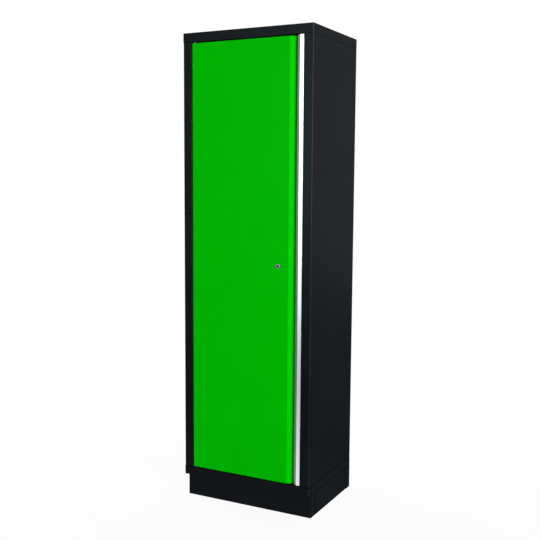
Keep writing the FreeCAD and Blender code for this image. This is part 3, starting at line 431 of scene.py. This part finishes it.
def floor_material():
    """Pale floor, white to the camera but for a faint shadow; in metal it is a painted reflection,
    shaded by distance and black under the cabinet.
    """
    shader = Shader("studio_floor")
    shader.set(Base_Color=opaque(FLOOR_COLOUR), Roughness=FLOOR_ROUGHNESS, Specular_IOR_Level=0.0)
    tree = shader.tree
    path = tree.nodes.new("ShaderNodeLightPath")
    is_camera = path.outputs["Is Camera Ray"]
    is_reflected = shader.math("MAXIMUM", path.outputs["Is Glossy Ray"],
                               path.outputs["Is Transmission Ray"])
    low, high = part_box("base_tray")
    outside = shader.outside((low[0] + UNDER_MARGIN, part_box("plinth_front")[0][1] + UNDER_MARGIN),
                             (high[0] - UNDER_MARGIN, high[1] - UNDER_MARGIN))
    distance = shader.distance()
    fade = shader.remap(distance, FLOOR_FADE, (FLOOR_WHITE_NEAR, FULL_WHITE), "SMOOTHSTEP")
    to_camera = shader.math("MULTIPLY", is_camera, shader.math("MULTIPLY", fade, outside))
    # Painted reflection: in metal the floor is darkest at a middle distance, pale near the cabinet, far
    # away and behind it, and black under the cabinet.
    near = shader.remap(distance, source=REFLECTED_FLOOR_NEAR)
    far = shader.remap(distance, source=REFLECTED_FLOOR_FAR)
    behind = shader.remap(shader.axis("Y"), source=REFLECTED_FLOOR_BEHIND)
    bright = shader.combine("MAXIMUM", (near, far, behind))
    pale = shader.remap(bright, target=(REFLECTED_FLOOR_DARKEST, FULL_WHITE))
    in_metal = shader.math("MULTIPLY", pale, outside)
    white = tree.nodes.new("ShaderNodeEmission")
    white.inputs["Color"].default_value = opaque(WHITE)
    tree.links.new(shader.math("MAXIMUM", is_camera, in_metal), white.inputs["Strength"])
    mixed = tree.nodes.new("ShaderNodeMixShader")
    tree.links.new(shader.math("MAXIMUM", to_camera, is_reflected), mixed.inputs["Fac"])
    tree.links.new(shader.principled.outputs["BSDF"], mixed.inputs[1])
    tree.links.new(white.outputs["Emission"], mixed.inputs[2])
    tree.links.new(mixed.outputs["Shader"], tree.nodes["Material Output"].inputs["Surface"])
    return shader.material


def make_floor():
    """Square floor at the cabinet's lowest level."""
    reach = FLOOR_REACH
    corners = [(-reach, -reach, 0.0), (reach, -reach, 0.0), (reach, reach, 0.0), (-reach, reach, 0.0)]
    mesh = bpy.data.meshes.new("studio_floor")
    mesh.from_pydata(corners, [], [(0, 1, 2, 3)])
    mesh.materials.append(floor_material())
    floor = bpy.data.objects.new("studio_floor", mesh)
    bpy.context.scene.collection.objects.link(floor)


# Light and camera
LAMP_TARGET = Vector((0.0, 0.0, 1.0))


def make_lamp(name, place, size, power, colour=WHITE):
    """Soft box of a width and a height in metres, pointed at the middle of the cabinet."""
    light = bpy.data.lights.new(name, "AREA")
    light.shape = "RECTANGLE"
    light.size, light.size_y = size
    light.energy = power
    light.color = colour
    lamp = bpy.data.objects.new(name, light)
    lamp.location = place
    lamp.rotation_mode = "QUATERNION"
    lamp.rotation_quaternion = (LAMP_TARGET - Vector(place)).to_track_quat("-Z", "Y")
    bpy.context.scene.collection.objects.link(lamp)


def make_lamps():
    """A large key to the front right, lamps for the other sides, and strips for the satin sheen."""
    make_lamp("key_softbox", place=(10.6, -5.6, 2.6), size=(5.0, 5.0), power=1940.0)
    make_lamp("left_softbox", place=(-6.5, 2.5, 3.2), size=(3.0, 3.0), power=420.0)
    make_lamp("back_softbox", place=(-0.8, 7.0, 3.4), size=(3.0, 3.0), power=480.0)
    make_lamp("top_softbox", place=(-1.0, 1.4, 6.2), size=(4.0, 4.0), power=170.0)
    make_lamp("front_strip", place=(-1.7, -5.5, 1.95), size=(0.7, 2.4), power=70.0, colour=COOL_WHITE)
    make_lamp("side_strip", place=(2.6, 6.0, 1.9), size=(1.2, 4.2), power=50.0)
    make_lamp("back_strip", place=(5.4, 5.6, 2.2), size=(1.2, 3.2), power=45.0)


def make_camera():
    """Camera at the photograph's place, turn and field of view."""
    azimuth = math.radians(CAMERA_AZIMUTH)
    elevation = math.radians(CAMERA_ELEVATION)
    roll = math.radians(CAMERA_ROLL)
    back = Vector((math.sin(azimuth) * math.cos(elevation), -math.cos(azimuth) * math.cos(elevation),
                   math.sin(elevation)))
    level_right = Vector((math.cos(azimuth), math.sin(azimuth), 0.0))
    level_up = back.cross(level_right)
    right = math.cos(roll) * level_right + math.sin(roll) * level_up
    up = math.cos(roll) * level_up - math.sin(roll) * level_right
    turn = Matrix((right, up, back)).transposed()
    data = bpy.data.cameras.new("photo_camera")
    data.sensor_width = SENSOR_MM
    data.lens = FOCAL_PIXELS / PHOTO_PIXELS * SENSOR_MM
    camera = bpy.data.objects.new("photo_camera", data)
    camera.matrix_world = Matrix.Translation(CAMERA_PLACE) @ turn.to_4x4()
    bpy.context.scene.collection.objects.link(camera)
    bpy.context.scene.camera = camera


dress_nodes()
make_world()
make_floor()
make_lamps()
make_camera()
bpy.context.scene.view_settings.view_transform = "Standard"
